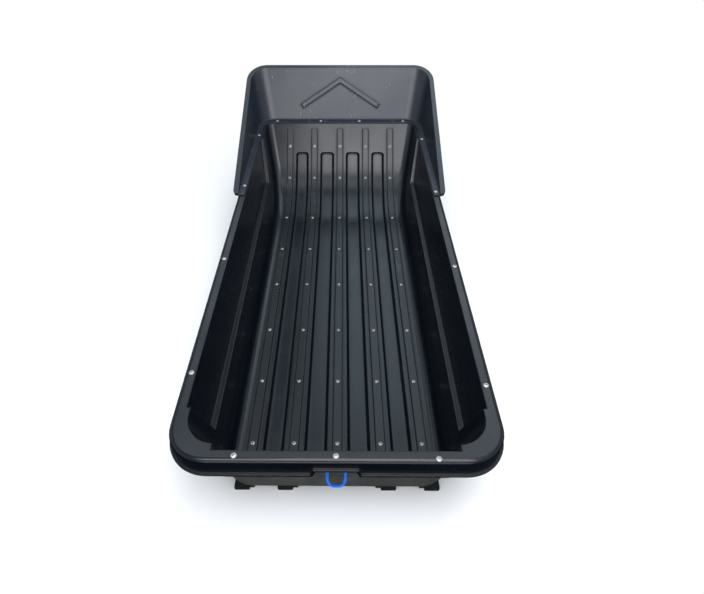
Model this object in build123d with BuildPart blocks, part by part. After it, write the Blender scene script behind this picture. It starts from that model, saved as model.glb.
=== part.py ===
"""Towed cargo sled: moulded tub on five runners, riveted snow cowl, tow clevises and a rear rope loop."""
import os
from math import atan, cos, degrees, hypot, radians, sin, tan

from build123d import *

# Driving dimensions in millimetres and degrees: +X right, +Y towards the bow, runner soles at Z = 0.
wall = 6.0
seat_gap = 0.2

# Rim: flat flange with a rounded edge, a skirt and an out-turned bead along the skirt's foot.
rim_width = 840.0
rim_length = 1968.0
rim_rear_radius = 105.0
rim_front_radius = 90.0
rim_edge_radius = 12.0
skirt_height = 55.0
bead_out = 7.0
bead_height = 6.0
side_flange = 42.0
rear_flange = 48.0
front_flange = 44.0

# Tub: drafted walls, flat floor and a bow that sweeps up to the rim.
tub_depth = 286.0
side_draft = 13.0
rear_draft = 7.5
bow_radius = 441.0
bow_angle = 46.0
floor_bend_radius = 36.0
rear_corner_radius = 85.0

# Upper wall panels, set out beyond the lower wall above a ledge.
ledge_height = 137.0
side_set_out = 10.0
rear_set_out = 17.0
side_panel_draft = 10.6
side_panel_rear = 183.0
side_panel_rear_lean = 30.0
side_panel_bow = 112.0
side_panel_bow_lean = 162.0
rear_panel_width = 605.0
panel_corner_radius = 14.0

# Floor: five bands with four recessed panels between them.
bend_to_band = 25.0
inner_band_shift = 3.0
band_width = 62.0
recess_depth = 14.0
recess_slope = 9.0
recess_rear = 60.0
recess_below_rim = 151.0
recess_corner_radius = 14.0

# Backing strips on the bands, inside.
strip_width = 30.0
strip_thickness = 7.0
strip_edge = 2.0
strip_rear = 60.0
strip_below_rim = 30.0

# Runners under the bands.
runner_width = 44.0
runner_stem = 40.0
runner_spread = 18.0
runner_height = 30.0
runner_rear = 8.0
middle_runner_setback = 40.0
runner_below_rim = 50.0
runner_to_bracket = 28.0
runner_edge = 3.0

# Stiffening tubes under the rim flange.
tube_width = 12.0
tube_height = 20.0
tube_wall = 2.0
side_tube_inset = 15.0
side_tube_rear = 190.0
side_tube_front = 330.0
rear_tube_margin = 65.0

# Tow brackets: curved base on the bow, two ears and a cross hole for a clevis pin.
bracket_below_rim = 46.0
bracket_length = 107.0
bracket_pin_shift = 16.0
bracket_width = 36.0
bracket_plate = 5.0
bracket_reach = 52.0
pin_hole_radius = 6.5
ear_radius = 17.0
ear_inset = 16.0

# Snow cowl on the rim at the bow.
cowl_wall = 5.0
cowl_length = 765.0
cowl_height = 225.0
cowl_ear_height = 12.0
cowl_side_lean = 38.0
cowl_front_lean = 127.0
cowl_corner_radius = 90.0
cowl_flange_margin = 3.0
cowl_inner_corner = 60.0
lip_width = 16.0
lip_drop = 14.0

# Chevron rib, pressed inwards from the cowl's front panel.
chevron_width = 403.0
chevron_rise = 128.0
chevron_foot = 68.0
chevron_band = 31.0
chevron_depth = 9.0
chevron_taper = 35.0

# Rear rope loop, its notch in the skirt and its recess in the rear wall.
notch_width = 98.0
notch_flare = 8.5
notch_rise = 22.0
rope_diameter = 8.0
rope_facets = 6
rope_bend_share = 0.45
rope_spacing = 46.0
rope_drop = 97.0
rope_hole_clearance = 0.6
rope_recess_width = 70.0
rope_recess_height = 26.0
rope_recess_depth = 12.0
knot_radius = 11.0
knot_length = 20.0
knot_sides = 8
quarter_turn = 90.0

# Heights.
band_underside = runner_height + seat_gap
floor_top = band_underside + wall
rim_top = floor_top + tub_depth
skirt_foot = rim_top - skirt_height
ledge_top = floor_top + ledge_height
cowl_base = rim_top + seat_gap

# Cowl slopes, and how far its lip reaches past the rim.
front_slope = cowl_front_lean / cowl_height
side_slope = cowl_side_lean / cowl_height
edge_rise = (cowl_height - cowl_ear_height) / (cowl_length + cowl_front_lean)
lip_top_height = (cowl_ear_height + (cowl_length + lip_width) * edge_rise) / (1 - front_slope * edge_rise)
cowl_overhang = lip_width + front_slope * lip_top_height

# Stations along the sled, with the whole length centred on the origin.
rim_rear = (bead_out - rim_length - cowl_overhang) / 2
rim_front = rim_rear + rim_length
rear_wall_top = rim_rear + rear_flange
floor_rear = rear_wall_top + tub_depth * tan(radians(rear_draft))
bow_rise = bow_radius * (1 - cos(radians(bow_angle)))
bow_straight = (tub_depth - bow_rise) / sin(radians(bow_angle))
bow_run = bow_radius * sin(radians(bow_angle)) + bow_straight * cos(radians(bow_angle))
bow_top = rim_front - front_flange
bow_start = bow_top - bow_run
cowl_rear = rim_front - cowl_length
tub_half_width = rim_width / 2 - side_flange
floor_half_width = tub_half_width - tub_depth * tan(radians(side_draft))

# Bands across the floor: the outer ones begin where the side walls' bend ends.
bend_run = floor_bend_radius * tan(radians(quarter_turn - side_draft) / 2)
outer_band_x = floor_half_width - bend_run - bend_to_band
inner_band_x = outer_band_x / 2 + inner_band_shift
band_places = (-outer_band_x, -inner_band_x, 0.0, inner_band_x, outer_band_x)

# Places on the straight of the bow, as distances below the rim.
bracket_foot = bracket_below_rim + bracket_length
bracket_pin = bracket_below_rim + bracket_length / 2 + bracket_pin_shift
short_runner_below_rim = bracket_foot + runner_to_bracket


def bow_point(offset, below_rim):
    """Point of the side section on the bow's straight, as Y and Z, outside the inner skin by the offset."""
    lean = radians(bow_angle)
    along = bow_top - below_rim * cos(lean) + offset * sin(lean)
    return along, rim_top - below_rim * sin(lean) - offset * cos(lean)


def swept_bar(x, section, rear, below_rim):
    """Bar along the floor and up the bow; its section is given as X and distance outside the inner skin."""
    start = Plane(origin=(x, rear, floor_top), x_dir=(1, 0, 0), z_dir=(0, 1, 0))
    with BuildPart() as bar:
        with BuildLine(Plane.YZ.offset(x)):
            Line((rear, floor_top), (bow_start, floor_top))
            CenterArc((bow_start, floor_top + bow_radius), bow_radius, -quarter_turn, bow_angle)
            Line(bow_point(0, bow_straight), bow_point(0, below_rim))
        with BuildSketch(start):
            with BuildLine():
                Polyline(*section, close=True)
            make_face()
        sweep()
    return bar.part


def runner_section(side):
    """Runner's section: a stem in the channel under its band, and a sole moved towards the side."""
    near = wall + seat_gap
    middle = wall + recess_depth + 2 * seat_gap
    sole = near + runner_height
    stem = runner_stem / 2
    left = side * runner_spread - runner_width / 2
    right = side * runner_spread + runner_width / 2
    return (
        (-stem, near),
        (stem, near),
        (stem, middle),
        (right, middle),
        (right, sole - runner_edge),
        (right - runner_edge, sole),
        (left + runner_edge, sole),
        (left, sole - runner_edge),
        (left, middle),
        (-stem, middle),
    )


def drafted_section(half_width, draft, grow):
    """Prism along the sled with drafted sides, as wide as given at the rim."""
    half_top = half_width + grow / cos(radians(draft))
    depth = tub_depth + grow
    half_foot = half_top - depth * tan(radians(draft))
    foot = rim_top - depth
    with BuildPart() as prism:
        with BuildSketch(Plane.XZ):
            with BuildLine():
                Polyline((-half_top, rim_top), (-half_foot, foot), (half_foot, foot), (half_top, rim_top), close=True)
            make_face()
        extrude(amount=rim_length, both=True)
    return prism.part


def rear_line(set_out, grow):
    """Rear wall in the side section: its top and its foot, as Y and Z."""
    top = rear_wall_top - set_out - grow / cos(radians(rear_draft))
    foot = top + (tub_depth + grow) * tan(radians(rear_draft))
    return (top, rim_top), (foot, floor_top - grow)


def tub_body(grow):
    """Load space between the lower walls, the floor and the bow, grown outwards."""
    rear_top, rear_foot = rear_line(0, grow)
    bow_end = bow_point(grow, -grow / tan(radians(bow_angle)))
    section = drafted_section(tub_half_width, side_draft, grow)
    with BuildPart() as body:
        with BuildSketch(Plane.YZ):
            with BuildLine():
                CenterArc((bow_start, floor_top + bow_radius), bow_radius + grow, -quarter_turn, bow_angle)
                Polyline(bow_point(grow, bow_straight), bow_end, rear_top, rear_foot, (bow_start, floor_top - grow))
            make_face()
        extrude(amount=rim_width / 2, both=True)
        add(section, mode=Mode.INTERSECT)
        rear_face = body.faces().sort_by(Axis.Y)[0]
        fillet(rear_face.edges().filter_by(Axis.X, reverse=True), rear_corner_radius + grow)
        floor_face = body.faces().sort_by(Axis.Z)[0]
        bend_face = body.faces().filter_by(GeomType.CYLINDER).sort_by(SortBy.AREA)[-1]
        bow_face = body.faces().sort_by(Axis.Y)[-1]
        floor_edges = floor_face.edges().sort_by(Axis.Y)[:-1]
        bend_edges = bend_face.edges().filter_by(Axis.X, reverse=True)
        bow_edges = bow_face.edges().filter_by(Axis.X, reverse=True)
        fillet(floor_edges + bend_edges + bow_edges, floor_bend_radius + grow)
    return body.part


def side_panels(grow):
    """Space of the set-out side panels: above the ledge, and rising with the bow at its front end."""
    rear = rim_rear + side_panel_rear
    front = bow_start + side_panel_bow
    above = rim_top + side_flange
    stretch = (above - ledge_top) / (rim_top - ledge_top)
    section = drafted_section(tub_half_width + side_set_out, side_panel_draft, grow)
    with BuildPart() as body:
        with BuildSketch(Plane.YZ) as outline:
            with BuildLine():
                Polyline(
                    (rear - side_panel_rear_lean * stretch, above),
                    (rear, ledge_top),
                    (front, ledge_top),
                    (front + side_panel_bow_lean * stretch, above),
                    close=True,
                )
            make_face()
            fillet(outline.vertices().group_by(Axis.Z)[0].sort_by(Axis.Y)[0], panel_corner_radius)
            if grow:
                offset(amount=grow)
        extrude(amount=rim_width / 2, both=True)
        add(section, mode=Mode.INTERSECT)
    return body.part


def rear_panel(grow):
    """Space of the set-out rear panel, above the ledge."""
    rear_top, rear_foot = rear_line(rear_set_out, grow)
    above = rim_top + rear_flange
    with BuildPart() as body:
        with BuildSketch(Plane.XZ) as outline:
            with Locations((0, (ledge_top + above) / 2)):
                Rectangle(rear_panel_width, above - ledge_top)
            fillet(outline.vertices().group_by(Axis.Y)[0], panel_corner_radius)
            if grow:
                offset(amount=grow)
        extrude(amount=rim_length, both=True)
        with BuildSketch(Plane.YZ):
            with BuildLine():
                Polyline(rear_top, rear_foot, (floor_rear, rear_foot[1]), (floor_rear, rim_top), close=True)
            make_face()
        extrude(amount=rim_width / 2, both=True, mode=Mode.INTERSECT)
    return body.part


def floor_recess(near_band, far_band, grow):
    """Recessed floor panel between two bands, with sloping sides and rounded corners at its ends."""
    half_width = (far_band - near_band - band_width) / 2 + grow
    near = -wall / 2
    far = recess_depth + grow
    half_near = half_width - recess_slope * near / recess_depth
    half_far = half_width - recess_slope
    section = ((-half_near, near), (half_near, near), (half_far, far), (-half_far, far))
    rear = floor_rear + recess_rear - grow
    bar = swept_bar((near_band + far_band) / 2, section, rear, recess_below_rim - grow)
    with BuildPart() as body:
        add(bar)
        end_face = body.faces().sort_by(Axis.Z)[-1]
        rear_face = body.faces().sort_by(Axis.Y)[0]
        corner_edges = end_face.edges() + rear_face.edges()
        fillet(corner_edges.filter_by(Axis.X, reverse=True), min(recess_corner_radius + grow, half_far - seat_gap))
    return body.part


def tub_space(grow):
    """Whole inside of the tub, grown outwards: at no growth it is the load space itself."""
    body = tub_body(grow)
    sides = side_panels(grow)
    rear = rear_panel(grow)
    recesses = [floor_recess(near, far, grow) for near, far in zip(band_places, band_places[1:])]
    with BuildPart() as space:
        add(body)
        add(sides)
        add(rear)
        add(recesses)
    return space.part


def rim_block(grow, foot, top):
    """Block of the rim's outline, grown outwards."""
    with BuildPart() as block:
        with BuildSketch(Plane.XY.offset(foot)) as outline:
            with Locations((0, rim_rear + rim_length / 2)):
                Rectangle(rim_width + 2 * grow, rim_length + 2 * grow)
            fillet(outline.vertices().group_by(Axis.Y)[0], rim_rear_radius + grow)
            fillet(outline.vertices().group_by(Axis.Y)[-1], rim_front_radius + grow)
        extrude(amount=top - foot)
    return block.part


def cowl_block(grow, drop, setback=0.0):
    """Flared block of the cowl, grown at its sides and front, cut off along its edge lowered by the drop."""
    rear = cowl_rear + setback
    foot = -2 * lip_drop
    top = 2 * cowl_height
    half_width = rim_width / 2 + grow
    front = rim_front + grow
    edge_plane = Plane(
        origin=(0, cowl_rear, cowl_base + cowl_ear_height - drop),
        x_dir=(1, 0, 0),
        z_dir=(0, -edge_rise, 1),
    )
    with BuildPart() as block:
        with BuildSketch(Plane.YZ):
            with BuildLine():
                Polyline(
                    (rear, cowl_base + foot),
                    (front + front_slope * foot, cowl_base + foot),
                    (front + front_slope * top, cowl_base + top),
                    (rear, cowl_base + top),
                    close=True,
                )
            make_face()
        extrude(amount=rim_width, both=True)
        with BuildSketch(Plane.XZ):
            with BuildLine():
                Polyline(
                    (-half_width - side_slope * foot, cowl_base + foot),
                    (half_width + side_slope * foot, cowl_base + foot),
                    (half_width + side_slope * top, cowl_base + top),
                    (-half_width - side_slope * top, cowl_base + top),
                    close=True,
                )
            make_face()
        extrude(amount=2 * rim_length, both=True, mode=Mode.INTERSECT)
        front_face = block.faces().sort_by(Axis.Y)[-1]
        fillet(front_face.edges().filter_by(Axis.X, reverse=True), cowl_corner_radius + grow)
        if grow > 0:
            rear_face = block.faces().sort_by(Axis.Y)[0]
            fillet(rear_face.edges().filter_by(Axis.X, reverse=True), grow)
        split(bisect_by=edge_plane, keep=Keep.BOTTOM)
    return block.part


# Hull: the grown tub and the rim shell, hollowed by the load space.
load_space = tub_space(0)
tub_outside = tub_space(wall)
rim_outside = rim_block(0, skirt_foot, rim_top)
rim_inside = rim_block(-wall, skirt_foot, rim_top - wall)
bead_ring = rim_block(bead_out, skirt_foot, skirt_foot + bead_height)
rope_level = rim_top - rope_drop
rear_wall_skin = rear_wall_top - rear_set_out + rope_drop * tan(radians(rear_draft)) - wall
recess_floor = rear_wall_skin + rope_recess_depth
hole_radius = rope_diameter / 2 + rope_hole_clearance

with BuildPart() as hull:
    add(rim_outside)
    fillet(hull.edges().group_by(Axis.Z)[-1], rim_edge_radius)
    add(bead_ring)
    add(rim_inside, mode=Mode.SUBTRACT)
    add(tub_outside)
    add(load_space, mode=Mode.SUBTRACT)
    # Notch in the rear skirt, its edge turned out like the rest of the skirt's foot.
    with BuildSketch(Plane.XZ.offset(-rim_rear - wall)) as notch_edge:
        with BuildLine():
            Polyline(
                (-notch_width / 2 - notch_flare - bead_height, skirt_foot),
                (-notch_width / 2 - bead_height, skirt_foot + notch_rise + bead_height),
                (notch_width / 2 + bead_height, skirt_foot + notch_rise + bead_height),
                (notch_width / 2 + notch_flare + bead_height, skirt_foot),
                close=True,
            )
        make_face()
    extrude(amount=wall + bead_out)
    with BuildSketch(Plane.XZ.offset(-rim_rear - wall - seat_gap)) as notch:
        with BuildLine():
            Polyline(
                (-notch_width / 2 - notch_flare, skirt_foot),
                (-notch_width / 2, skirt_foot + notch_rise),
                (notch_width / 2, skirt_foot + notch_rise),
                (notch_width / 2 + notch_flare, skirt_foot),
                close=True,
            )
        make_face()
    extrude(amount=2 * (wall + bead_out), mode=Mode.SUBTRACT)
    # Recess for the rope in the rear wall, with two holes in its floor.
    with BuildSketch(Plane.XZ.offset(-recess_floor - wall)) as recess_boss:
        with Locations((0, rope_level)):
            RectangleRounded(rope_recess_width + 2 * wall, rope_recess_height + 2 * wall, panel_corner_radius)
    extrude(amount=rope_recess_depth)
    with BuildSketch(Plane.XZ.offset(-recess_floor)) as recess_cut:
        with Locations((0, rope_level)):
            RectangleRounded(rope_recess_width, rope_recess_height, panel_corner_radius - wall)
    extrude(amount=rope_recess_depth + wall, mode=Mode.SUBTRACT)
    with BuildSketch(Plane.XZ.offset(-recess_floor - 2 * wall)) as rope_holes:
        with Locations((-rope_spacing / 2, rope_level), (rope_spacing / 2, rope_level)):
            Circle(hole_radius)
    extrude(amount=3 * wall, mode=Mode.SUBTRACT)
hull.part.label = "hull"

# Cowl: leaning shell, base flange on the rim, turned-out lip and one chevron rib.
cowl_whole = cowl_block(0, -cowl_height)
cowl_outside = cowl_block(0, 0)
cowl_inside = cowl_block(-cowl_wall, -cowl_height)
lip_outside = cowl_block(lip_width, 0)
lip_under = cowl_block(lip_width - cowl_wall, cowl_wall, cowl_wall)
lip_foot = cowl_block(lip_width + cowl_wall, lip_drop, -cowl_wall)
rib_hollow = chevron_band - 3 * cowl_wall
hollow_share = 1 - 3 * cowl_wall / hypot(chevron_width / 2, chevron_rise)
flange_half_width = tub_half_width + side_set_out + cowl_flange_margin
flange_front = bow_top + cowl_flange_margin
panel_pitch = degrees(atan(front_slope))
panel_skin = cowl_wall * cos(radians(panel_pitch))
panel_plane = Plane(
    origin=(0, rim_front - cowl_wall, cowl_base),
    x_dir=(1, 0, 0),
    z_dir=(0, -cos(radians(panel_pitch)), sin(radians(panel_pitch))),
)
chevron_points = (
    (-chevron_width / 2, chevron_foot),
    (0, chevron_foot + chevron_rise),
    (chevron_width / 2, chevron_foot),
)
# The hollow stops short of the rib's sloping ends.
hollow_points = (
    (-chevron_width / 2 * hollow_share, chevron_foot + chevron_rise * (1 - hollow_share)),
    (0, chevron_foot + chevron_rise),
    (chevron_width / 2 * hollow_share, chevron_foot + chevron_rise * (1 - hollow_share)),
)

with BuildPart() as cowl_shell:
    add(cowl_outside)
    split(bisect_by=Plane.XY.offset(cowl_base), keep=Keep.TOP)
    add(cowl_inside, mode=Mode.SUBTRACT)

with BuildPart() as cowl_lip:
    add(lip_outside)
    add(lip_under, mode=Mode.SUBTRACT)
    add(lip_foot, mode=Mode.SUBTRACT)
    add(cowl_inside, mode=Mode.SUBTRACT)

with BuildPart() as cowl:
    # Base flange, flat on the rim.
    add(cowl_whole)
    with BuildSketch(Plane.XY.offset(cowl_base)):
        Rectangle(2 * rim_width, 2 * rim_length)
    extrude(amount=cowl_wall, mode=Mode.INTERSECT)
    with BuildSketch(Plane.XY.offset(cowl_base)) as opening:
        with Locations((0, (cowl_rear + flange_front) / 2)):
            Rectangle(2 * flange_half_width, flange_front - cowl_rear)
        fillet(opening.vertices().group_by(Axis.Y)[-1], cowl_inner_corner)
    extrude(amount=cowl_wall, mode=Mode.SUBTRACT)
    add(cowl_shell.part)
    add(cowl_lip.part)
    # Chevron rib, hollow behind.
    with BuildSketch(panel_plane.offset(-panel_skin / 2)):
        with BuildLine():
            Polyline(*chevron_points)
        trace(line_width=chevron_band)
    extrude(amount=panel_skin / 2 + chevron_depth, taper=chevron_taper)
    with BuildSketch(panel_plane.offset(-panel_skin - chevron_depth)):
        with BuildLine():
            Polyline(*hollow_points)
        trace(line_width=rib_hollow)
    extrude(amount=2 * chevron_depth, mode=Mode.SUBTRACT)
cowl.part.label = "cowl"

# Backing strips and runners, one pair to each floor band.
band_names = ("left_outer", "left_inner", "middle", "right_inner", "right_outer")
strip_half = strip_width / 2
strip_top = -seat_gap - strip_thickness
strip_section = (
    (-strip_half, -seat_gap),
    (strip_half, -seat_gap),
    (strip_half, strip_top + strip_edge),
    (strip_half - strip_edge, strip_top),
    (strip_edge - strip_half, strip_top),
    (-strip_half, strip_top + strip_edge),
)
backing_strips = []
runners = []
for band_name, band_x, side in zip(band_names, band_places, (-1, -1, 0, 1, 1)):
    strip_bar = swept_bar(band_x, strip_section, floor_rear + strip_rear, strip_below_rim)
    with BuildPart() as strip:
        add(strip_bar)
    strip.part.label = "backing_strip_" + band_name
    backing_strips.append(strip)

    # The middle runner starts later, and the tow brackets take the place of the inner runners' upper ends.
    runner_start = floor_rear + runner_rear
    runner_end = runner_below_rim
    if side == 0:
        runner_start += middle_runner_setback
    if abs(band_x) == inner_band_x:
        runner_end = short_runner_below_rim
    runner_bar = swept_bar(band_x, runner_section(side), runner_start, runner_end)
    with BuildPart() as runner:
        add(runner_bar)
    runner.part.label = "runner_" + band_name
    runners.append(runner)

# Stiffening tubes, open at both ends, under the flange at the sides and the rear.
tube_level = rim_top - wall - seat_gap - tube_height / 2
side_tube_x = rim_width / 2 - side_tube_inset
side_tube_length = rim_length - side_tube_rear - side_tube_front
# The rear tube lies midway between the skirt and the rear panel's outer skin.
rear_skin = rear_wall_top - rear_set_out - wall / cos(radians(rear_draft))
rear_tube_y = (rim_rear + wall + rear_skin) / 2
stiffeners = []
for side_name, side in (("left", -1), ("right", 1)):
    with BuildPart() as side_tube:
        with BuildSketch(Plane.XZ.offset(-rim_front + side_tube_front)):
            with Locations((side * side_tube_x, tube_level)):
                Rectangle(tube_width, tube_height)
                Rectangle(tube_width - 2 * tube_wall, tube_height - 2 * tube_wall, mode=Mode.SUBTRACT)
        extrude(amount=side_tube_length)
    side_tube.part.label = "rim_stiffener_" + side_name
    stiffeners.append(side_tube)

with BuildPart() as rear_tube:
    with BuildSketch(Plane.YZ):
        with Locations((rear_tube_y, tube_level)):
            Rectangle(tube_width, tube_height)
            Rectangle(tube_width - 2 * tube_wall, tube_height - 2 * tube_wall, mode=Mode.SUBTRACT)
    extrude(amount=rim_width / 2 - rim_rear_radius - rear_tube_margin, both=True)
rear_tube.part.label = "rim_stiffener_rear"
stiffeners.append(rear_tube)

# Tow brackets: a base plate on the bow's straight, and two ears with a cross hole.
base_near = wall + seat_gap
base_far = base_near + bracket_plate
ear_root = base_near + bracket_plate / 2
ear_low = bow_point(ear_root, bracket_foot - ear_inset)
ear_high = bow_point(ear_root, bracket_below_rim + ear_inset)
pin_center = bow_point(base_near + bracket_reach, bracket_pin)
brackets = []
for side_name, side in (("left", -1), ("right", 1)):
    with BuildPart() as bracket:
        with BuildSketch(Plane.YZ.offset(side * inner_band_x)):
            with BuildLine():
                Polyline(
                    bow_point(base_near, bracket_below_rim),
                    bow_point(base_far, bracket_below_rim),
                    bow_point(base_far, bracket_foot),
                    bow_point(base_near, bracket_foot),
                    close=True,
                )
            make_face()
        extrude(amount=bracket_width / 2, both=True)
        for ear_side in (-1, 1):
            ear_x = side * inner_band_x + ear_side * (bracket_width - bracket_plate) / 2
            with BuildSketch(Plane.YZ.offset(ear_x)):
                with BuildLine():
                    CenterArc(pin_center, ear_radius, 0, 4 * quarter_turn)
                    Line(ear_low, ear_high)
                make_hull()
            extrude(amount=bracket_plate / 2, both=True)
        with BuildSketch(Plane.YZ.offset(side * inner_band_x)):
            with Locations(pin_center):
                Circle(pin_hole_radius)
        extrude(amount=bracket_width, both=True, mode=Mode.SUBTRACT)
    bracket.part.label = "tow_bracket_" + side_name
    brackets.append(bracket)

# Rope loop: one side of its route from the knot, as across, behind the recess floor and below the hole.
rope_half_route = (
    (23.0, -9.0, 0.0),
    (23.0, 8.0, 0.0),
    (23.0, 23.0, 10.0),
    (23.0, 27.5, 38.0),
    (12.0, 26.0, 63.0),
)
rope_side = [Vector(x, recess_floor - behind, rope_level - below) for x, behind, below in rope_half_route]
rope_route = rope_side + [Vector(-point.X, point.Y, point.Z) for point in reversed(rope_side)]
rope_radii = []
for before, corner, after in zip(rope_route, rope_route[1:], rope_route[2:]):
    half_turn = radians((corner - before).get_angle(after - corner)) / 2
    shorter_run = min((corner - before).length, (after - corner).length)
    rope_radii.append(rope_bend_share * shorter_run / tan(half_turn))

with BuildPart() as rope_loop:
    with BuildLine():
        rope_path = FilletPolyline(*rope_route, radius=rope_radii)
    with BuildSketch(Plane(origin=rope_path @ 0, z_dir=rope_path % 0)) as rope_section:
        RegularPolygon(rope_diameter / 2, rope_facets)
    sweep()
    rope_length = rope_path.length
    tube_share = rope_loop.part.volume / (rope_length * rope_section.sketch.area)
    with BuildSketch(Plane.XZ.offset(-recess_floor - wall - seat_gap - knot_length)):
        with Locations((-rope_spacing / 2, rope_level), (rope_spacing / 2, rope_level)):
            RegularPolygon(knot_radius, knot_sides)
    extrude(amount=knot_length)
rope_loop.part.label = "rope_loop"
print("rope radii", [round(radius, 1) for radius in rope_radii])
print("rope length", round(rope_length, 1), "volume share", round(tube_share, 4))

os.makedirs("parts", exist_ok=True)
for piece in (hull, cowl, *backing_strips, *runners, *stiffeners, *brackets, rope_loop):
    export_step(piece.part, f"parts/{piece.part.label}.step")
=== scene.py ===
"""Towed cargo sled: finishes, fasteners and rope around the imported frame, in metres."""
import math
import random

import bmesh
import bpy
from mathutils import Matrix, Vector


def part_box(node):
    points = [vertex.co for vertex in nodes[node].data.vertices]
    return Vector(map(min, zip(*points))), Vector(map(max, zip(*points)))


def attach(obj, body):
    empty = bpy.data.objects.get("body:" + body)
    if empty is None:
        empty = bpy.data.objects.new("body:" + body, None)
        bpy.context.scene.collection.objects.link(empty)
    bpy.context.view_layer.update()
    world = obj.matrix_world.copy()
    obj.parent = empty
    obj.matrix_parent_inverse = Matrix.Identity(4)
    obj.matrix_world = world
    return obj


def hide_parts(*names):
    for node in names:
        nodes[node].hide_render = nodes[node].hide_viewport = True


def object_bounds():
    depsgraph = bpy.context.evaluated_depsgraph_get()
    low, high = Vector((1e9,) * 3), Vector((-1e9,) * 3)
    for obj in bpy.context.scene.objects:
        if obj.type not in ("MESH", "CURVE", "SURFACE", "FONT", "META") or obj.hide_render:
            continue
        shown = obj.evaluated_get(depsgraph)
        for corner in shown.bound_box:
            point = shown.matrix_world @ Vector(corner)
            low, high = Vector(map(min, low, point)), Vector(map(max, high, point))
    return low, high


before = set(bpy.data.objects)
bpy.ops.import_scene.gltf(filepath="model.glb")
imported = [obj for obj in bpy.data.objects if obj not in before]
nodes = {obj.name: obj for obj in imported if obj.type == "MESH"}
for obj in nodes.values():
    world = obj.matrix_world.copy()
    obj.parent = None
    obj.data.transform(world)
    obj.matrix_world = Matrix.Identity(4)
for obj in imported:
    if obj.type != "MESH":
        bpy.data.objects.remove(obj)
cad_low, cad_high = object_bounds()

MM = 0.001
UP = Vector((0, 0, 1))
DOWN = Vector((0, 0, -1))
FORWARD = Vector((0, 1, 0))

# Camera of the photograph: image size, focal length and principal point in pixels, angles in degrees.
IMAGE_WIDTH = 704
FOCAL_PIXELS = 500.0
PRINCIPAL_PIXEL = 338.6
SENSOR_WIDTH = 36.0
CAMERA_YAW = -0.50
CAMERA_PITCH = -42.20
CAMERA_ROLL = -0.13
CAMERA_ACROSS = 12.5 * MM
CAMERA_BEHIND_HULL = 602.6 * MM
CAMERA_ABOVE_RIM = 1078.5 * MM

# Places read from the frame, and two distances on the hull.
SKIRT_HEIGHT = 55 * MM
RIVET_LINE_INSET = 27 * MM
hull_low, hull_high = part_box("hull")
rim_top = hull_high.z
strip_names = [name for name in sorted(nodes) if name.startswith("backing_strip_")]
floor_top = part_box("backing_strip_middle")[0].z
rivet_line = hull_low.y + RIVET_LINE_INSET
skirt_foot = rim_top - SKIRT_HEIGHT

# Fasteners: distances ahead of the rear rivet line, heights above the floor and sizes.
FLOOR_ROWS = (201 * MM, 440 * MM, 682 * MM, 945 * MM, 1190 * MM, 1445 * MM)
BOW_ROW_HEIGHT = 88 * MM
TOP_ROW_HEIGHT = 202 * MM
TOP_ROW_SCALE = 1.25
BRACKET_BOLT_DROPS = (14 * MM, 66 * MM)
BOLT_SPIN = 0.2
FASTENER_SEAT = 0.1 * MM
SHARP_ANGLE = math.radians(38)

# Distances from which a ray looks for a fastener's seat.
ABOVE_FLOOR = 120 * MM
CLEAR_OF_PART = 100 * MM

# Rim rivets: across and ahead of the rear rivet line in millimetres, and the node above each side's tails.
HULL_RIVETS = ((-244, -3), (0, -3), (244, -9), (-401, 248), (401, 209), (-401, 758), (401, 720))
COWL_RIVETS = (
    (-402, 1255),
    (402, 1209),
    (-402, 1751),
    (402, 1708),
    (-327, 1923),
    (-101, 1923),
    (101, 1923),
    (327, 1923),
)
REAR_ROW_REACH = 20
HULL_TAILS = {-1: "rim_stiffener_left", 0: "rim_stiffener_rear", 1: "rim_stiffener_right"}
COWL_TAILS = {-1: "hull", 0: "hull", 1: "hull"}

# Rope: half of its route from the knot, in millimetres, and the make of its sheath.
ROPE_DIAMETER = 8 * MM
ROPE_HALF_ROUTE = (
    (23.0, -9.0, 0.0),
    (23.0, 8.0, 0.0),
    (23.0, 23.0, 10.0),
    (23.0, 27.5, 38.0),
    (12.0, 26.0, 63.0),
)
ROPE_RECESS_FROM_REAR = 56.77 * MM
REAR_WALL = 6 * MM
ROPE_BELOW_RIM = 97 * MM
ROPE_AROUND = 64
ROPE_RING_STEP = 0.6 * MM
BRAID_STRANDS = 8
BRAID_PITCH = 11 * MM
BRAID_DEPTH = 0.5 * MM
KNOT_TURNS = 2.4
KNOT_RADIUS = 6.6 * MM
KNOT_PITCH = 7.4 * MM
KNOT_STEPS = 160
KNOT_TAIL_STEPS = 11

# Wear of the moulded sheet and a paler film on its rear wall: linear colours, where the film lies, and how
# far the occlusion reaches that dulls the seams and, as painted shade, keeps the film out of them.
SCUFF_COLOR = (0.40, 0.41, 0.42)
REAR_FILM_COLOR = (0.065, 0.0675, 0.064)
REAR_FILM_FADE = 40 * MM
REAR_FILM_TURN = (0.15, 0.85)
REAR_FILM_THINNEST = 0.62
SEAM_REACH = 16 * MM

# Easing of the cowl's rib, whose flanks are steeper in the solid than in the photograph.
COWL_FRONT_NORMAL = Vector((0, -225, 127)).normalized()
RIB_HALF_WIDTH = 240 * MM
RIB_FOOT = (rim_top + 20 * MM, rim_top + 40 * MM)
RIB_TOP = (cad_high.z - 20 * MM, cad_high.z - 35 * MM)
RIB_EASING = 0.65

# Stage: the floor, the world's strength by kind of ray, and the lights.
FLOOR_SIZE = 40.0
FLOOR_COLOR = (0.88, 0.88, 0.88)
FLOOR_IN_GLOSS = (0.014, 0.016, 0.020)
FLOOR_FADE_SHAPE = (1.0, 0.45, 0.0)
FLOOR_FADE = (0.45, 1.1)
WORLD_TINT = (0.88, 0.96, 1, 1)
WHITE = (1, 1, 1, 1)
WORLD_FILL = 0.35
SIDES_IN_GLOSS = 0.75
AHEAD_IN_GLOSS = 0.12
SIDE_TURN = (0.35, 0.75)
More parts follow.
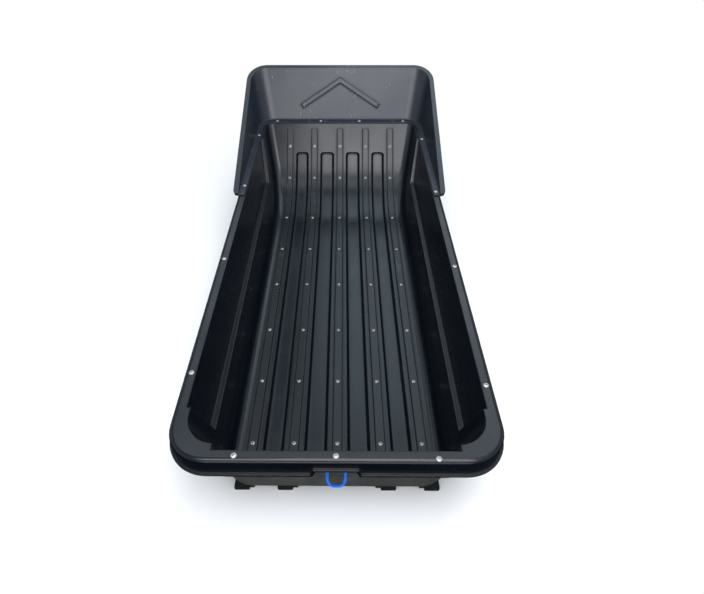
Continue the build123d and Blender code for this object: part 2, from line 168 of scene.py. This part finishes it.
# Rows: name, place, target, size, radiance and colour.
LIGHT_PANELS = (
    ("floor_panel", (0.29, 2.95, 3.0), (0.29, 2.95, 0.0), (1.2, 3.6), 2.1, (0.72, 0.90, 1.0)),
    ("flange_panel", (0.0, 0.40, 3.0), (0.0, 0.40, 0.0), (3.4, 0.56), 2.9, (0.82, 0.93, 1.0)),
    ("left_panel", (-1.38, 2.7, 3.0), (-1.38, 2.7, 0.0), (0.7, 3.6), 2.1, (0.82, 0.93, 1.0)),
    ("right_panel", (1.42, 2.42, 3.0), (1.42, 2.42, 0.0), (0.7, 4.16), 2.8, (0.82, 0.93, 1.0)),
    ("cowl_panel", (0.05, -1.79, 2.44), (0.05, 0.85, 0.3), (2.5, 1.4), 6.3, (0.93, 0.95, 1.0)),
    ("bow_panel", (0.45, -0.80, 3.05), (0.45, 0.75, 0.2), (1.85, 1.05), 6.8, (0.93, 0.95, 1.0)),
    ("rear_fill", (0.0, -3.2, 0.9), (0.0, -1.0, 0.2), (2.4, 1.0), 3.0, (1.0, 1.0, 1.0)),
    ("front_fill", (0.0, 4.4, 0.8), (0.0, 1.0, 0.3), (3.0, 1.0), 1.4, (1.0, 1.0, 1.0)),
)


# Node graph helpers

def add_node(tree, kind, inputs=None, **settings):
    """A node with its settings made and its inputs set or linked."""
    made = tree.nodes.new(kind)
    for key, value in settings.items():
        setattr(made, key, value)
    for socket, value in (inputs or {}).items():
        if isinstance(value, bpy.types.NodeSocket):
            tree.links.new(value, made.inputs[socket])
        else:
            made.inputs[socket].default_value = value
    return made


def new_material(name):
    """A material with one Principled shader, its node tree and that shader."""
    material = bpy.data.materials.new(name)
    material.use_nodes = True
    tree = material.node_tree
    return material, tree, tree.nodes["Principled BSDF"]


def place_of(tree, stretch=(1, 1, 1)):
    """Object coordinates, scaled."""
    coordinates = add_node(tree, "ShaderNodeTexCoord").outputs["Object"]
    return add_node(tree, "ShaderNodeMapping", {"Vector": coordinates, "Scale": stretch}).outputs["Vector"]


def axes_of(tree, vector):
    """The X, Y and Z outputs of a vector."""
    return add_node(tree, "ShaderNodeSeparateXYZ", {0: vector}).outputs


def noise(tree, scale, detail=4.0, roughness=0.55, stretch=(1, 1, 1)):
    """Noise over the object, from 0 to 1."""
    inputs = {
        "Vector": place_of(tree, stretch),
        "Scale": scale,
        "Detail": detail,
        "Roughness": roughness,
    }
    return add_node(tree, "ShaderNodeTexNoise", inputs).outputs["Fac"]


def ramp(tree, value, low, high, out_low=0.0, out_high=1.0):
    """The value mapped smoothly from one range to another."""
    inputs = {
        "Value": value,
        "From Min": low,
        "From Max": high,
        "To Min": out_low,
        "To Max": out_high,
    }
    return add_node(tree, "ShaderNodeMapRange", inputs, interpolation_type="SMOOTHSTEP").outputs["Result"]


def math_node(tree, operation, first, second):
    return add_node(tree, "ShaderNodeMath", {0: first, 1: second}, operation=operation).outputs[0]


def product(tree, result, *factors):
    """All the values multiplied."""
    for factor in factors:
        result = math_node(tree, "MULTIPLY", result, factor)
    return result


def size_of(tree, value):
    """The value without its sign."""
    return add_node(tree, "ShaderNodeMath", {0: value}, operation="ABSOLUTE").outputs[0]


def vector_node(tree, operation, first, second=None):
    """A vector operation on one or two vectors."""
    inputs = {0: first}
    if second is not None:
        inputs[1] = second
    return add_node(tree, "ShaderNodeVectorMath", inputs, operation=operation).outputs


def dot(tree, first, second):
    """The dot product of two vectors."""
    return vector_node(tree, "DOT_PRODUCT", first, second)["Value"]


def mix_color(tree, factor, first, second):
    mixed = add_node(tree, "ShaderNodeMix", {0: factor}, data_type="RGBA")
    for socket, value in ((6, first), (7, second)):
        if isinstance(value, bpy.types.NodeSocket):
            tree.links.new(value, mixed.inputs[socket])
        else:
            mixed.inputs[socket].default_value = (*value, 1)
    return mixed.outputs[2]


def shade(color, share):
    """The colour made darker or lighter."""
    return [value * share for value in color]


def bump(tree, height, strength, distance, normal=None):
    inputs = {"Height": height, "Strength": strength, "Distance": distance}
    if normal is not None:
        inputs["Normal"] = normal
    return add_node(tree, "ShaderNodeBump", inputs).outputs["Normal"]


# Materials

def facing_out(tree):
    """1 where a surface faces away from the sled's middle, 0 where it faces inwards."""
    geometry = add_node(tree, "ShaderNodeNewGeometry").outputs
    level = vector_node(tree, "MULTIPLY", geometry["Position"], (1, 1, 0))["Vector"]
    return ramp(tree, dot(tree, level, geometry["True Normal"]), 0.02, 0.12)


def eased_flanks(tree, normal):
    """The normal, leaned back towards the cowl's front panel on the flanks of its rib."""
    place = axes_of(tree, place_of(tree))
    share = product(
        tree,
        ramp(tree, size_of(tree, place["X"]), RIB_HALF_WIDTH, 0.9 * RIB_HALF_WIDTH),
        RIB_EASING,
        ramp(tree, place["Z"], *RIB_FOOT),
        ramp(tree, place["Z"], *RIB_TOP),
        ramp(tree, dot(tree, normal, COWL_FRONT_NORMAL), 0.1, 0.3),
    )
    mixed = add_node(tree, "ShaderNodeMix", {0: share, 4: normal, 5: COWL_FRONT_NORMAL}, data_type="VECTOR")
    return vector_node(tree, "NORMALIZE", mixed.outputs[1])["Vector"]


def scuff_marks(tree, strength):
    """Pale streaks, thin across the sled, broken into flecks and kept to a few patches."""
    streaks = noise(tree, 12.0, detail=2.0, roughness=0.5, stretch=(18.0, 1.0, 1.6))
    flecks = noise(tree, 90.0, detail=3.0, roughness=0.6, stretch=(1.0, 1.0, 0.6))
    patches = noise(tree, 6.0, detail=2.0)
    return product(
        tree,
        ramp(tree, streaks, 0.61, 0.68),
        ramp(tree, flecks, 0.48, 0.62),
        ramp(tree, patches, 0.50, 0.64),
        strength,
    )


def rear_pale_film(tree, line, normal, seam_dull_and_shade):
    """Paler film below a line, on outer faces that look rearwards; it is kept out of the occluded seams,
    which is painted shade.
    """
    height = axes_of(tree, place_of(tree))["Z"]
    film = noise(tree, 24, detail=7.0, roughness=0.65, stretch=(1.0, 1.0, 0.4))
    return product(
        tree,
        ramp(tree, height, line, line - REAR_FILM_FADE),
        ramp(tree, dot(tree, normal, -FORWARD), *REAR_FILM_TURN),
        facing_out(tree),
        ramp(tree, film, 0.28, 0.72, REAR_FILM_THINNEST, 1.0),
        # Painted shade: the film thins out where the seams are occluded.
        math_node(tree, "SUBTRACT", 1.0, seam_dull_and_shade),
    )


def moulded_plastic(name, black, worn, roughness, edge, scuffs=0.0, pale_film_line=0.0, soft_rib=False):
    """Black sheet plastic: grain, orange peel, smudges, rubbed edges, scuffs, dull occluded seams and a paler
    film on the rear wall, kept out of the seams as painted shade.
    """
    material, tree, shader = new_material(name)
    rounded = add_node(tree, "ShaderNodeBevel", {"Radius": edge}, samples=6).outputs["Normal"]
    flat = add_node(tree, "ShaderNodeNewGeometry").outputs["Normal"]
    turned = ramp(tree, dot(tree, rounded, flat), 0.995, 0.86)
    rubbed = product(tree, turned, ramp(tree, noise(tree, 38), 0.42, 0.72))
    if soft_rib:
        rounded = eased_flanks(tree, rounded)
    smudge = noise(tree, 5.0, detail=6.0, roughness=0.6)
    marks = scuff_marks(tree, scuffs)
    base = mix_color(tree, ramp(tree, smudge, 0.35, 0.75), black, shade(black, 1.4))
    base = mix_color(tree, rubbed, base, worn)
    base = mix_color(tree, marks, base, SCUFF_COLOR)
    gloss = ramp(tree, smudge, 0.30, 0.78, roughness - 0.03, roughness + 0.05)
    gloss = math_node(tree, "ADD", gloss, product(tree, marks, 0.3))
    # Occlusion finds the seams: they are rougher, and they are painted shade where the paler film is kept out
    # of them.
    openness = add_node(tree, "ShaderNodeAmbientOcclusion", {"Distance": SEAM_REACH}, samples=4).outputs["AO"]
    seam_dull_and_shade = ramp(tree, openness, 0.92, 0.55)
    gloss = math_node(tree, "ADD", gloss, product(tree, seam_dull_and_shade, 0.4))
    if pale_film_line:
        pale_film = rear_pale_film(tree, pale_film_line, flat, seam_dull_and_shade)
        base = mix_color(tree, pale_film, base, REAR_FILM_COLOR)
        gloss = math_node(tree, "ADD", gloss, product(tree, pale_film, 0.25))
    tree.links.new(base, shader.inputs["Base Color"])
    tree.links.new(gloss, shader.inputs["Roughness"])
    peel = bump(tree, noise(tree, 130, detail=2.0), 0.05, 0.6 * MM, rounded)
    grain = bump(tree, noise(tree, 900, detail=3.0), 0.10, 0.12 * MM, peel)
    tree.links.new(grain, shader.inputs["Normal"])
    shader.inputs["Specular IOR Level"].default_value = 0.42
    return material


def sliding_plastic(name, black, pale):
    """Matt runner bar: sawn faces with streaks along the sled, paler where it slides."""
    material, tree, shader = new_material(name)
    streak = noise(tree, 60, detail=5.0, roughness=0.6, stretch=(9.0, 0.35, 9.0))
    sole = ramp(tree, axes_of(tree, place_of(tree))["Z"], 4 * MM, 0.0)
    wear = product(tree, sole, ramp(tree, streak, 0.40, 0.62))
    base = mix_color(tree, ramp(tree, streak, 0.35, 0.7), black, shade(black, 1.7))
    base = mix_color(tree, wear, base, pale)
    tree.links.new(base, shader.inputs["Base Color"])
    tree.links.new(ramp(tree, streak, 0.3, 0.7, 0.42, 0.62), shader.inputs["Roughness"])
    rounded = add_node(tree, "ShaderNodeBevel", {"Radius": 1.5 * MM}, samples=4).outputs["Normal"]
    tree.links.new(bump(tree, streak, 0.25, 0.2 * MM, rounded), shader.inputs["Normal"])
    return material


def plated_metal(name, color, roughness, grain, stretch=(1, 1, 1)):
    """Bare or zinc-plated metal with spangle, fine streaks and dulled spots."""
    material, tree, shader = new_material(name)
    spangle = noise(tree, grain, roughness=0.6, stretch=stretch)
    dull = ramp(tree, noise(tree, grain / 6, detail=5.0), 0.5, 0.75)
    base = mix_color(tree, ramp(tree, spangle, 0.35, 0.7), shade(color, 0.82), color)
    base = mix_color(tree, dull, base, shade(color, 0.6))
    gloss = ramp(tree, spangle, 0.3, 0.75, roughness - 0.08, roughness + 0.1)
    tree.links.new(base, shader.inputs["Base Color"])
    tree.links.new(gloss, shader.inputs["Roughness"])
    tree.links.new(bump(tree, spangle, 0.12, 0.1 * MM), shader.inputs["Normal"])
    shader.inputs["Metallic"].default_value = 1.0
    return material


def socket_painted_shade():
    """Painted shade: a near-black colour inside a screw's socket or a rivet's hollow, where shade falls."""
    material, tree, shader = new_material("socket_painted_shade")
    base = mix_color(tree, noise(tree, 700), (0.012, 0.012, 0.013), (0.05, 0.05, 0.052))
    tree.links.new(base, shader.inputs["Base Color"])
    shader.inputs["Roughness"].default_value = 0.6
    return material


def rope_fibre():
    """Blue braided rope: fine yarn, paler patches and a soft sheen."""
    material, tree, shader = new_material("rope_fibre")
    yarn = noise(tree, 1500, detail=3.0, roughness=0.6, stretch=(1.0, 1.0, 0.35))
    patch = noise(tree, 160, detail=3.0)
    base = mix_color(tree, ramp(tree, yarn, 0.3, 0.7), (0.0, 0.085, 0.50), (0.0, 0.17, 0.72))
    base = mix_color(tree, ramp(tree, patch, 0.55, 0.8, 0.0, 0.35), base, (0.004, 0.20, 0.74))
    tree.links.new(base, shader.inputs["Base Color"])
    tree.links.new(ramp(tree, yarn, 0.3, 0.7, 0.45, 0.68), shader.inputs["Roughness"])
    tree.links.new(bump(tree, yarn, 0.5, 0.15 * MM), shader.inputs["Normal"])
    shader.inputs["Specular IOR Level"].default_value = 0.2
    shader.inputs["Sheen Weight"].default_value = 0.04
    return material


hull_plastic = moulded_plastic(
    "hull_sheet",
    black=(0.0004, 0.0015, 0.0042),
    worn=(0.020, 0.022, 0.025),
    roughness=0.25,
    edge=4.0 * MM,
    pale_film_line=skirt_foot,
)
cowl_plastic = moulded_plastic(
    "cowl_sheet",
    black=(0.0100, 0.0130, 0.0200),
    worn=(0.022, 0.024, 0.027),
    roughness=0.34,
    edge=4.5 * MM,
    scuffs=0.7,
    soft_rib=True,
)
strip_plastic = moulded_plastic(
    "strip_sheet",
    black=(0.0010, 0.0019, 0.0038),
    worn=(0.024, 0.026, 0.029),
    roughness=0.30,
    edge=3.0 * MM,
    scuffs=0.2,
)
runner_plastic = sliding_plastic("runner_bar", black=(0.006, 0.006, 0.007), pale=(0.06, 0.06, 0.062))
tube_metal = plated_metal(
    "mill_aluminium",
    (0.70, 0.71, 0.73),
    roughness=0.34,
    grain=220,
    stretch=(9.0, 0.3, 9.0),
)
bracket_metal = plated_metal("zinc_plate", (0.62, 0.63, 0.62), roughness=0.36, grain=260)
head_metal = plated_metal("dull_zinc", (0.52, 0.53, 0.54), roughness=0.60, grain=420)
# Painted shade for the insides of screw sockets and rivet hollows.
socket_shade = socket_painted_shade()
rope_blue = rope_fibre()

FINISHES = {
    "hull": hull_plastic,
    "cowl": cowl_plastic,
    "backing_strip": strip_plastic,
    "runner": runner_plastic,
    "rim_stiffener": tube_metal,
    "tow_bracket": bracket_metal,
    "rope_loop": rope_blue,
}
for name, node in nodes.items():
    for start, finish in FINISHES.items():
        if name.startswith(start):
            node.material_slots[0].material = finish


# Mesh helpers

def new_piece(name, mesh, materials):
    """A mesh that rides on the sled, with its finishes."""
    for material in materials:
        mesh.materials.append(material)
    piece = bpy.data.objects.new(name, mesh)
    bpy.context.scene.collection.objects.link(piece)
    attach(piece, "root")
    return piece


def mesh_from(name, shape):
    """A mesh from a bmesh, smooth but for its sharp edges."""
    mesh = bpy.data.meshes.new(name)
    bmesh.ops.recalc_face_normals(shape, faces=shape.faces)
    shape.to_mesh(mesh)
    shape.free()
    mesh.shade_smooth()
    mesh.set_sharp_from_angle(angle=SHARP_ANGLE)
    return mesh


def stand_on(place, normal, spin=0.0):
    """Turns +Z to the normal at a place."""
    turn = normal.to_track_quat("Z", "Y").to_matrix().to_4x4()
    return Matrix.Translation(place) @ turn @ Matrix.Rotation(spin, 4, "Z")


def lathe(shape, profile, stand, scale=1.0, segments=36):
    """Revolves rows of radius, height, lobe share, corner count and material about the stand's axis."""
    rings = []
    for radius, height, lobe, corners, _ in profile:
        ring = []
        for index in range(segments):
            angle = 2 * math.pi * index / segments
            reach = radius * (1 + lobe * math.cos(corners * angle))
            point = Vector((reach * math.cos(angle), reach * math.sin(angle), height)) * MM * scale
            ring.append(shape.verts.new(stand @ point))
        rings.append(ring)
    for (ring, above), row in zip(zip(rings, rings[1:]), profile[1:]):
        for index in range(segments):
            after = (index + 1) % segments
            face = shape.faces.new((ring[index], ring[after], above[after], above[index]))
            face.material_index = row[4]
    foot = shape.faces.new(list(reversed(rings[0])))
    foot.material_index = 0
    cap = shape.faces.new(rings[-1])
    cap.material_index = profile[-1][4]


# Rows: radius and height in millimetres, lobe share and count, and 1 for the socket's painted shade.
SCREW_PROFILE = (
    (6.2, 0.0, 0, 6, 0),
    (6.2, 0.8, 0, 6, 0),
    (5.8, 1.2, 0, 6, 0),
    (4.7, 1.4, 0, 6, 0),
    (4.6, 2.5, 0, 6, 0),
    (4.2, 3.3, 0, 6, 0),
    (3.4, 3.8, 0, 6, 0),
    (2.5, 4.0, 0.10, 6, 0),
    (2.2, 3.7, 0.12, 6, 1),
    (2.0, 2.1, 0.12, 6, 1),
    (0.7, 1.8, 0, 6, 1),
)
RIVET_PROFILE = (
    (7.6, 0.0, 0, 6, 0),
    (7.6, 0.5, 0, 6, 0),
    (7.2, 1.0, 0, 6, 0),
    (5.6, 1.9, 0, 6, 0),
    (4.0, 2.6, 0, 6, 0),
    (3.0, 2.9, 0, 6, 0),
    (2.6, 2.7, 0, 6, 0),
    (2.3, 1.5, 0, 6, 1),
    (1.5, 1.3, 0, 6, 1),
    (1.3, 1.9, 0, 6, 0),
    (0.6, 2.1, 0, 6, 0),
)
TAIL_PROFILE = (
    (4.6, 0.0, 0, 6, 0),
    (4.4, 1.4, 0, 6, 0),
    (3.4, 2.6, 0, 6, 0),
    (1.6, 3.2, 0, 6, 0),
    (1.2, 2.6, 0, 6, 1),
)
WASHER_PROFILE = (
    (8.5, 0.0, 0, 6, 0),
    (8.5, 1.4, 0, 6, 0),
    (8.2, 1.6, 0, 6, 0),
)
HEX_PROFILE = (
    (7.3, 1.6, 0, 6, 0),
    (7.5, 1.9, 0, 6, 0),
    (7.5, 6.4, 0, 6, 0),
    (6.6, 7.0, 0, 6, 0),
)


def seat(name, start, direction):
    """Where a ray meets a node of the frame, and which way the surface faces there."""
    met, place, normal, _ = nodes[name].ray_cast(start, direction)
    if not met:
        raise ValueError(f"no seat on {name} from {tuple(start)}")
    return place + normal * FASTENER_SEAT, normal


def floor_screws():
    """Eight screws along each backing strip, the top ones larger."""
    spread = random.Random(5)
    shape = bmesh.new()
    for name in strip_names:
        low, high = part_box(name)
        across = (low.x + high.x) / 2
        inside = floor_top + ABOVE_FLOOR
        for ahead in FLOOR_ROWS:
            place, normal = seat(name, Vector((across, rivet_line + ahead, inside)), DOWN)
            lathe(shape, SCREW_PROFILE, stand_on(place, normal, spread.uniform(0, math.pi)))
        for rise, scale in ((BOW_ROW_HEIGHT, 1.0), (TOP_ROW_HEIGHT, TOP_ROW_SCALE)):
            place, normal = seat(name, Vector((across, 0, floor_top + rise)), FORWARD)
            lathe(shape, SCREW_PROFILE, stand_on(place, normal, spread.uniform(0, math.pi)), scale)
    return new_piece("floor_screws", mesh_from("floor_screws", shape), (head_metal, socket_shade))


def rim_rivets(name, seat_node, tail_nodes, places):
    """Large-flange rivets along the rim, at distances across and ahead in millimetres, with tails below."""
    shape = bmesh.new()
    above = cad_high.z + CLEAR_OF_PART
    below = rim_top - 2 * SKIRT_HEIGHT
    for across, ahead in places:
        x = across * MM
        y = rivet_line + ahead * MM
        place, _ = seat(seat_node, Vector((x, y, above)), DOWN)
        lathe(shape, RIVET_PROFILE, stand_on(place, UP))
        side = 0 if abs(ahead) <= REAR_ROW_REACH else int(math.copysign(1, across))
        place, _ = seat(tail_nodes[side], Vector((x, y, below)), UP)
        lathe(shape, TAIL_PROFILE, stand_on(place, DOWN))
    return new_piece(name, mesh_from(name, shape), (head_metal, socket_shade))


def bracket_bolts():
    """Two hexagon bolts through the base of each tow bracket."""
    shape = bmesh.new()
    for name in ("tow_bracket_left", "tow_bracket_right"):
        low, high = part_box(name)
        for drop in BRACKET_BOLT_DROPS:
            start = Vector(((low.x + high.x) / 2, high.y + CLEAR_OF_PART, high.z - drop))
            place, normal = seat(name, start, -FORWARD)
            lathe(shape, WASHER_PROFILE, stand_on(place, normal))
            lathe(shape, HEX_PROFILE, stand_on(place, normal, BOLT_SPIN), segments=6)
    return new_piece("bracket_bolts", mesh_from("bracket_bolts", shape), (head_metal, socket_shade))


floor_screws()
rim_rivets("hull_rivets", "hull", HULL_TAILS, HULL_RIVETS)
rim_rivets("cowl_rivets", "cowl", COWL_TAILS, COWL_RIVETS)
bracket_bolts()


# Rope loop

def rope_points():
    """The rope's route, from one knot round the loop to the other."""
    recess = hull_low.y + ROPE_RECESS_FROM_REAR
    level = rim_top - ROPE_BELOW_RIM
    side = []
    for across, behind, below in ROPE_HALF_ROUTE:
        side.append(Vector((across * MM, recess - behind * MM, level - below * MM)))
    return side + [Vector((-point.x, point.y, point.z)) for point in reversed(side)]


def spline_line(name, points):
    """Points along the smooth line of a NURBS spline through the route."""
    curve = bpy.data.curves.new(name, "CURVE")
    curve.dimensions = "3D"
    spline = curve.splines.new("NURBS")
    spline.points.add(len(points) - 1)
    for target, point in zip(spline.points, points):
        target.co = (*point, 1)
    spline.order_u = 3
    spline.use_endpoint_u = True
    spline.resolution_u = 24
    holder = bpy.data.objects.new(name, curve)
    mesh = bpy.data.meshes.new_from_object(holder)
    line = [vertex.co.copy() for vertex in mesh.vertices]
    bpy.data.meshes.remove(mesh)
    bpy.data.objects.remove(holder)
    bpy.data.curves.remove(curve)
    return line


def even_steps(line, step):
    """The line again, with its points evenly spaced."""
    lengths = [0.0]
    for before, after in zip(line, line[1:]):
        lengths.append(lengths[-1] + (after - before).length)
    count = round(lengths[-1] / step)
    spaced = []
    run = 0
    for index in range(count + 1):
        along = lengths[-1] * index / count
        while run < len(line) - 2 and lengths[run + 1] < along:
            run += 1
        share = (along - lengths[run]) / (lengths[run + 1] - lengths[run])
        spaced.append(line[run].lerp(line[run + 1], share))
    return spaced


def braided_tube(shape, line, diameter):
    """Tube along the line with the crossing strands of a braided sheath."""
    side = (line[1] - line[0]).orthogonal().normalized()
    along = 0.0
    rings = []
    for index, point in enumerate(line):
        ahead = line[min(index + 1, len(line) - 1)] - line[max(index - 1, 0)]
        ahead.normalize()
        side = (side - ahead * side.dot(ahead)).normalized()
        across = ahead.cross(side)
        if index:
            along += (point - line[index - 1]).length
        travel = 2 * math.pi * along / BRAID_PITCH
        ring = []
        for corner in range(ROPE_AROUND):
            angle = 2 * math.pi * corner / ROPE_AROUND
            first = abs(math.cos((BRAID_STRANDS * angle + 2 * travel) / 2))
            second = abs(math.cos((BRAID_STRANDS * angle - 2 * travel) / 2))
            reach = diameter / 2 - BRAID_DEPTH * (1 - max(first, second))
            ring.append(shape.verts.new(point + (side * math.cos(angle) + across * math.sin(angle)) * reach))
        rings.append(ring)
    for ring, after in zip(rings, rings[1:]):
        for corner in range(ROPE_AROUND):
            beside = (corner + 1) % ROPE_AROUND
            shape.faces.new((ring[corner], ring[beside], after[beside], after[corner]))
    shape.faces.new(list(reversed(rings[0])))
    shape.faces.new(rings[-1])


def knot_line(side):
    """Coil of a stopper knot inside the rear wall, with its tail pulled out."""
    across = side * ROPE_HALF_ROUTE[0][0] * MM
    inside = hull_low.y + ROPE_RECESS_FROM_REAR + REAR_WALL + ROPE_DIAMETER / 2
    start = Vector((across, inside, rim_top - ROPE_BELOW_RIM))
    line = []
    for index in range(KNOT_STEPS + 1):
        turn = KNOT_TURNS * index / KNOT_STEPS
        angle = side * 2 * math.pi * turn
        out = Vector((math.cos(angle), 0, math.sin(angle))) * KNOT_RADIUS
        line.append(start + out + FORWARD * KNOT_PITCH * turn)
    ahead = (line[-1] - line[-2]).normalized()
    return line + [line[-1] + ahead * step * MM for step in range(1, KNOT_TAIL_STEPS + 1)]


route = rope_points()
rope_line = even_steps(spline_line("rope_route", route), ROPE_RING_STEP)
rope_shape = bmesh.new()
braided_tube(rope_shape, rope_line, ROPE_DIAMETER)
rope = new_piece("tow_rope_loop", mesh_from("tow_rope_loop", rope_shape), (rope_blue,))
knot_shape = bmesh.new()
for side in (-1, 1):
    braided_tube(knot_shape, even_steps(knot_line(side), ROPE_RING_STEP), ROPE_DIAMETER)
knots = new_piece("rope_knots", mesh_from("rope_knots", knot_shape), (rope_blue,))
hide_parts("rope_loop")


# Stage

def pale_floor():
    """Pale floor that fades to white away from the sled, and stays dark in reflections."""
    mesh = bpy.data.meshes.new("studio_floor")
    half = FLOOR_SIZE / 2
    corners = [(-half, -half, 0), (half, -half, 0), (half, half, 0), (-half, half, 0)]
    mesh.from_pydata(corners, [], [(0, 1, 2, 3)])
    material, tree, shader = new_material("pale_floor")
    tone = mix_color(tree, noise(tree, 1.3, 3.0), FLOOR_COLOR, shade(FLOOR_COLOR, 0.985))
    path = add_node(tree, "ShaderNodeLightPath").outputs
    tone = mix_color(tree, path["Is Glossy Ray"], tone, FLOOR_IN_GLOSS)
    tree.links.new(tone, shader.inputs["Base Color"])
    shader.inputs["Roughness"].default_value = 0.85
    shader.inputs["Specular IOR Level"].default_value = 0.1
    away = vector_node(tree, "LENGTH", place_of(tree, FLOOR_FADE_SHAPE))["Value"]
    fade = product(tree, ramp(tree, away, *FLOOR_FADE), path["Is Camera Ray"])
    white = add_node(tree, "ShaderNodeEmission", {"Color": WHITE, "Strength": 1.0}).outputs["Emission"]
    mixed = add_node(tree, "ShaderNodeMixShader", {0: fade, 1: shader.outputs["BSDF"], 2: white})
    tree.links.new(mixed.outputs["Shader"], tree.nodes["Material Output"].inputs["Surface"])
    mesh.materials.append(material)
    floor = bpy.data.objects.new("studio_floor", mesh)
    bpy.context.scene.collection.objects.link(floor)


def studio_world():
    """White to the eye, a soft fill on the object, and in reflections light at the sides and dark ahead."""
    world = bpy.data.worlds.new("studio")
    world.use_nodes = True
    tree = world.node_tree
    tree.nodes.clear()
    path = add_node(tree, "ShaderNodeLightPath").outputs
    seen = math_node(tree, "MAXIMUM", path["Is Camera Ray"], path["Is Transmission Ray"])
    direction = add_node(tree, "ShaderNodeTexCoord").outputs["Generated"]
    sideways = size_of(tree, axes_of(tree, direction)["X"])
    in_gloss = ramp(tree, sideways, *SIDE_TURN, AHEAD_IN_GLOSS, SIDES_IN_GLOSS)
    strength = mix_color(tree, path["Is Glossy Ray"], [WORLD_FILL] * 3, in_gloss)
    fill = add_node(tree, "ShaderNodeBackground", {"Color": WORLD_TINT, "Strength": strength})
    white = add_node(tree, "ShaderNodeBackground", {"Color": WHITE, "Strength": 1.0})
    both = add_node(
        tree,
        "ShaderNodeMixShader",
        {0: seen, 1: fill.outputs["Background"], 2: white.outputs["Background"]},
    )
    add_node(tree, "ShaderNodeOutputWorld", {"Surface": both.outputs["Shader"]})
    bpy.context.scene.world = world


def light_panel(name, place, target, size, radiance, color):
    """Soft rectangular light of a given radiance."""
    light = bpy.data.lights.new(name, "AREA")
    light.shape = "RECTANGLE"
    light.size, light.size_y = size
    light.energy = radiance * math.pi * size[0] * size[1]
    light.color = color
    panel = bpy.data.objects.new(name, light)
    panel.location = place
    panel.rotation_euler = (Vector(target) - Vector(place)).to_track_quat("-Z", "Y").to_euler()
    panel.visible_camera = False
    bpy.context.scene.collection.objects.link(panel)


def photo_camera():
    """Camera where the photograph was taken, as fitted to its rivets and screws."""
    yaw = math.radians(CAMERA_YAW)
    pitch = math.radians(CAMERA_PITCH)
    roll = math.radians(CAMERA_ROLL)
    ahead = Vector((math.sin(yaw) * math.cos(pitch), math.cos(yaw) * math.cos(pitch), math.sin(pitch)))
    right = Vector((math.cos(yaw), -math.sin(yaw), 0))
    above = right.cross(ahead)
    rolled_right = right * math.cos(roll) + above * math.sin(roll)
    rolled_above = above * math.cos(roll) - right * math.sin(roll)
    data = bpy.data.cameras.new("photo_camera")
    data.sensor_width = SENSOR_WIDTH
    data.lens = FOCAL_PIXELS / IMAGE_WIDTH * SENSOR_WIDTH
    data.shift_x = (IMAGE_WIDTH / 2 - PRINCIPAL_PIXEL) / IMAGE_WIDTH
    camera = bpy.data.objects.new("photo_camera", data)
    turn = Matrix((rolled_right, rolled_above, -ahead)).transposed().to_4x4()
    place = Vector((CAMERA_ACROSS, hull_low.y - CAMERA_BEHIND_HULL, rim_top + CAMERA_ABOVE_RIM))
    camera.matrix_world = Matrix.Translation(place) @ turn
    bpy.context.scene.collection.objects.link(camera)
    bpy.context.scene.camera = camera


pale_floor()
studio_world()
for panel in LIGHT_PANELS:
    light_panel(*panel)
photo_camera()
bpy.context.scene.view_settings.view_transform = "Standard"
